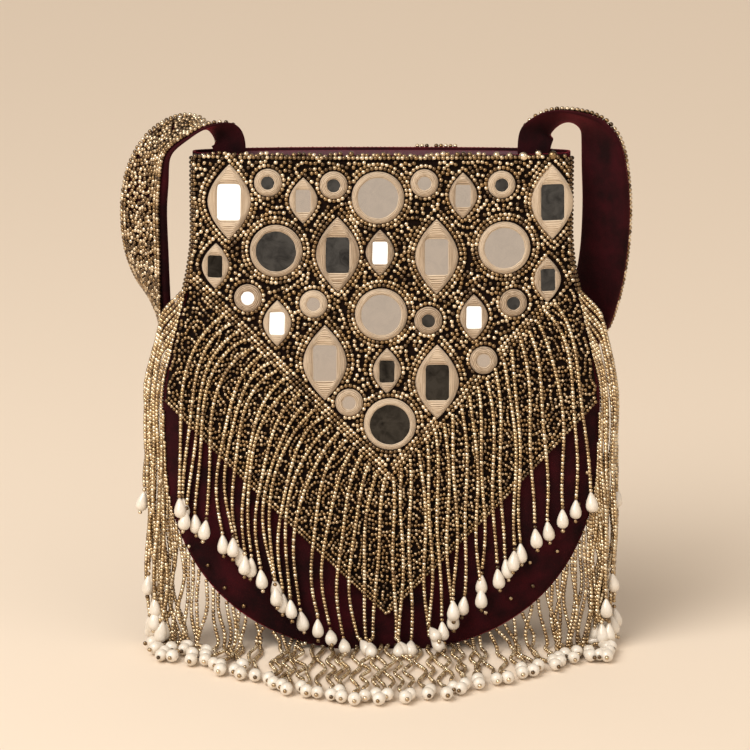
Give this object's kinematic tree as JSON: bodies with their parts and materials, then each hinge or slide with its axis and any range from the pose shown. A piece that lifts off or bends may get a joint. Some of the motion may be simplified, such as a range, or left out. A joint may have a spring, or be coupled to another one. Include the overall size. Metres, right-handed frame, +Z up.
{
  "type": "potli bag",
  "caption": "Round velvet pouch bag with a beaded mirror yoke, pearl-tipped bead fringes and a beaded strap, standing open with the strap behind it.",
  "frame": {"origin": "middle of the flat base the bag stands on", "axes": "+Z up, the mirror yoke faces -Y, +X to the right seen from the front"},
  "size_m": [0.2446, 0.1479, 0.2632],
  "materials": {
    "velvet": "maroon pile velvet",
    "lining": "maroon satin",
    "gold_beads": "antique gold seed beads on cloth",
    "strand_beads": "antique gold cut beads on thread, with ivory pearls",
    "mirror": "silvered glass",
    "snap_brass": "polished"
  },
  "bodies": {
    "root": {"back_bead_border": "gold_beads", "back_panel": "velvet", "floor_fringe": "strand_beads", "front_fringe_left": "strand_beads", "front_fringe_right": "strand_beads", "front_panel": "velvet", "gusset": "velvet", "lining": "lining", "lower_bead_panel": "gold_beads", "mirror_round_02": "mirror", "mirror_round_04": "mirror", "mirror_round_05": "mirror", "mirror_round_06": "mirror", "mirror_round_08": "mirror", "mirror_round_11": "mirror", "mirror_round_15": "mirror", "mirror_round_17": "mirror", "mirror_round_19": "mirror", "mirror_round_20": "mirror", "mirror_round_21": "mirror", "mirror_round_23": "mirror", "mirror_round_27": "mirror", "mirror_round_28": "mirror", "mirror_round_29": "mirror", "mirror_tall_01": "mirror", "mirror_tall_03": "mirror", "mirror_tall_07": "mirror", "mirror_tall_09": "mirror", "mirror_tall_10": "mirror", "mirror_tall_12": "mirror", "mirror_tall_13": "mirror", "mirror_tall_14": "mirror", "mirror_tall_16": "mirror", "mirror_tall_18": "mirror", "mirror_tall_22": "mirror", "mirror_tall_24": "mirror", "mirror_tall_25": "mirror", "mirror_tall_26": "mirror", "mirror_yoke": "gold_beads", "side_fringe_left": "strand_beads", "side_fringe_right": "strand_beads", "snap_socket": "snap_brass", "snap_stud": "snap_brass", "strap_beading": "gold_beads", "strap_velvet": "velvet"}
  },
  "joints": []
}
